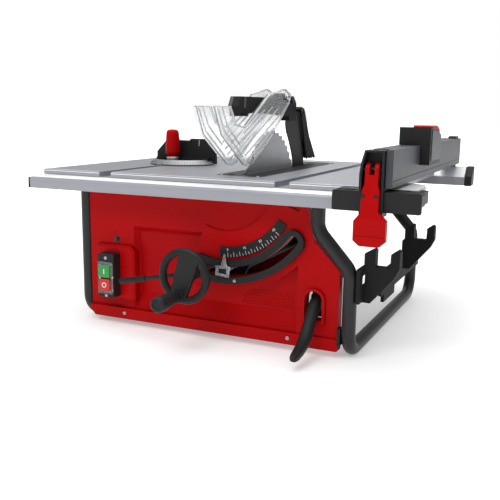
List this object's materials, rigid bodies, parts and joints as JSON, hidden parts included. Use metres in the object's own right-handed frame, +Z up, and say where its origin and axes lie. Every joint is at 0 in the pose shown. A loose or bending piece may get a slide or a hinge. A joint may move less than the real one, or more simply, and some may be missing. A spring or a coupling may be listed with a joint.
{
  "type": "table saw",
  "caption": "Benchtop table saw: flat grey top, red base, round tube legs, sliding rip fence, mitre gauge, clear blade guard, tilting and lifting blade with a crank wheel.",
  "frame": {"origin": "middle of the whole saw's box, on the floor", "axes": "+X to the operator's right, along the rails; +Y away from the operator, along the cut; +Z up"},
  "size_m": [0.781, 0.749, 0.467],
  "materials": {
    "cast_table": "ground cast top, grey, fine scratches, bright edges",
    "rail_aluminium": "satin extrusion",
    "red_plastic": "moulded red, semi-gloss",
    "black_plastic": "moulded black, fine grain",
    "tube_paint": "charcoal powder coat, satin",
    "fence_paint": "dark anodised extrusion",
    "steel": "plain machined steel",
    "bright_steel": "bright ground steel",
    "cast_alloy": "die cast, matt",
    "clear_plastic": "clear polycarbonate",
    "green_plastic": "moulded green"
  },
  "bodies": {
    "base": {"table_top": "cast_table", "throat_insert": "black_plastic", "front_panel": "red_plastic", "left_panel": "red_plastic", "base_pan": "black_plastic", "rear_panel": "red_plastic", "dust_port": "black_plastic", "frame_tube_left": "tube_paint", "frame_tube_right": "tube_paint", "tool_bracket": "black_plastic", "leg_bumper": "black_plastic", "switch_box": "black_plastic", "switch_bezel": "clear_plastic", "bevel_slot_rim": "black_plastic", "front_rail_bracket": "steel", "rear_rail_bracket": "steel", "trunnion_front": "steel", "trunnion_rear": "steel"},
    "rails": {"front_rail": "rail_aluminium", "rear_rail": "rail_aluminium", "front_rail_cap_left": "black_plastic", "front_rail_cap_right": "black_plastic", "rear_rail_cap_left": "black_plastic", "rear_rail_cap_right": "black_plastic"},
    "fence": {"fence_beam": "fence_paint", "fence_head": "black_plastic", "scale_lens": "clear_plastic", "fence_rear_clamp": "black_plastic", "fence_top_pad": "black_plastic"},
    "fence_lever": {"fence_lever": "red_plastic"},
    "fence_block": {"fence_block": "black_plastic"},
    "block_latch": {"block_latch": "red_plastic"},
    "mitre_gauge": {"mitre_bar": "bright_steel"},
    "mitre_head": {"mitre_head": "black_plastic", "mitre_plate": "black_plastic"},
    "mitre_knob": {"mitre_knob": "red_plastic"},
    "tilt": {"tilt_frame": "steel", "guide_post_front": "bright_steel", "guide_post_rear": "bright_steel", "bevel_pointer": "bright_steel"},
    "bevel_lock": {"bevel_lock_handle": "black_plastic"},
    "handwheel": {"handwheel": "black_plastic", "elevation_shaft": "steel"},
    "crank_grip": {"crank_grip": "black_plastic"},
    "lead_screw": {"lead_screw": "bright_steel"},
    "lift": {"lift_carriage": "cast_alloy", "motor_housing": "black_plastic", "riving_knife": "tube_paint", "guard_arm": "black_plastic"},
    "arbor": {"blade": "bright_steel", "arbor_shaft": "steel", "arbor_nut": "steel"},
    "rotor": {"motor_rotor": "steel"},
    "shield_left": {"guard_shield_left": "clear_plastic"},
    "shield_right": {"guard_shield_right": "clear_plastic"},
    "pawls": {"kickback_pawls": "steel"},
    "start_button": {"start_button": "green_plastic"},
    "stop_button": {"stop_button": "red_plastic"},
    "rail_lock": {"rail_lock_lever": "black_plastic"}
  },
  "joints": [
    {"name": "rail_extend", "type": "slide", "parent": "base", "child": "rails", "axis": [1, 0, 0], "range_m": [0, 0.3]},
    {"name": "fence_slide", "type": "slide", "parent": "rails", "child": "fence", "axis": [1, 0, 0], "range_m": [-0.24, 0]},
    {"name": "fence_lock", "type": "hinge", "parent": "fence", "child": "fence_lever", "pos_m": [0.314, -0.2825, 0.337], "axis": [-1, 0, 0], "range_deg": [0, 70]},
    {"name": "block_slide", "type": "slide", "parent": "fence", "child": "fence_block", "axis": [0, 1, 0], "range_m": [-0.12, 0.17]},
    {"name": "latch_lift", "type": "hinge", "parent": "fence_block", "child": "block_latch", "pos_m": [0.3395, -0.0515, 0.398], "axis": [1, 0, 0], "range_deg": [0, 50]},
    {"name": "mitre_slide", "type": "slide", "parent": "base", "child": "mitre_gauge", "axis": [0, 1, 0], "range_m": [-0.15, 0.07]},
    {"name": "mitre_swivel", "type": "hinge", "parent": "mitre_gauge", "child": "mitre_head", "pos_m": [-0.218, 0.0085, 0.31], "axis": [0, 0, 1], "range_deg": [-60, 60]},
    {"name": "mitre_knob_turn", "type": "hinge", "parent": "mitre_head", "child": "mitre_knob", "pos_m": [-0.218, 0.0085, 0.34], "axis": [0, 0, 1], "range_deg": [0, 360]},
    {"name": "bevel_tilt", "type": "hinge", "parent": "base", "child": "tilt", "pos_m": [0.0245, 0.0385, 0.305], "axis": [0, -1, 0], "range_deg": [0, 45]},
    {"name": "bevel_lock_turn", "type": "hinge", "parent": "tilt", "child": "bevel_lock", "pos_m": [-0.0105, -0.2745, 0.1366], "axis": [0, -1, 0], "range_deg": [-20, 15]},
    {"name": "blade_lift", "type": "slide", "parent": "tilt", "child": "lift", "axis": [0, 0, 1], "range_m": [-0.08, 0]},
    {"name": "elevation_crank", "type": "hinge", "parent": "tilt", "child": "handwheel", "pos_m": [-0.0105, -0.3015, 0.1366], "axis": [0, -1, 0], "range_deg": [-1, 2881]},
    {"name": "grip_spin", "type": "hinge", "parent": "handwheel", "child": "crank_grip", "pos_m": [-0.0225, -0.3415, 0.1], "axis": [0, 1, 0], "continuous": true},
    {"name": "screw_turn", "type": "hinge", "parent": "tilt", "child": "lead_screw", "pos_m": [-0.0105, -0.1235, 0.2], "axis": [0, 0, 1], "range_deg": [-2881, 2881]},
    {"name": "blade_spin", "type": "hinge", "parent": "lift", "child": "arbor", "pos_m": [0.0275, -0.0165, 0.258], "axis": [1, 0, 0], "continuous": true},
    {"name": "motor_spin", "type": "hinge", "parent": "lift", "child": "rotor", "pos_m": [-0.0655, -0.0165, 0.2355], "axis": [1, 0, 0], "continuous": true},
    {"name": "shield_left_swing", "type": "hinge", "parent": "lift", "child": "shield_left", "pos_m": [0.01, 0.0205, 0.45], "axis": [-1, 0, 0], "range_deg": [-0.05, 27.05]},
    {"name": "shield_right_swing", "type": "hinge", "parent": "lift", "child": "shield_right", "pos_m": [0.044, 0.0205, 0.45], "axis": [-1, 0, 0], "range_deg": [-0.05, 27.05]},
    {"name": "pawl_swing", "type": "hinge", "parent": "lift", "child": "pawls", "pos_m": [0.0275, 0.1485, 0.422], "axis": [1, 0, 0], "range_deg": [-0.05, 62.05]},
    {"name": "start_press", "type": "slide", "parent": "base", "child": "start_button", "axis": [0, 1, 0], "range_m": [0, 0.004], "stiffness_N_per_m": 600},
    {"name": "stop_press", "type": "slide", "parent": "base", "child": "stop_button", "axis": [0, 1, 0], "range_m": [0, 0.004], "stiffness_N_per_m": 600},
    {"name": "rail_lock_lift", "type": "hinge", "parent": "base", "child": "rail_lock", "pos_m": [0.2005, -0.1895, 0.098], "axis": [-1, 0, 0], "range_deg": [0, 30]}
  ],
  "couplings": [
    {"joint": "elevation_crank", "follows": "blade_lift", "rad_per_m": -628.32},
    {"joint": "screw_turn", "follows": "blade_lift", "rad_per_m": 628.32},
    {"joint": "shield_left_swing", "follows": "blade_lift", "rad_per_m": -5.8905},
    {"joint": "shield_right_swing", "follows": "blade_lift", "rad_per_m": -5.8905},
    {"joint": "pawl_swing", "follows": "blade_lift", "rad_per_m": -13.526},
    {"joint": "motor_spin", "follows": "blade_spin", "ratio": -4}
  ]
}
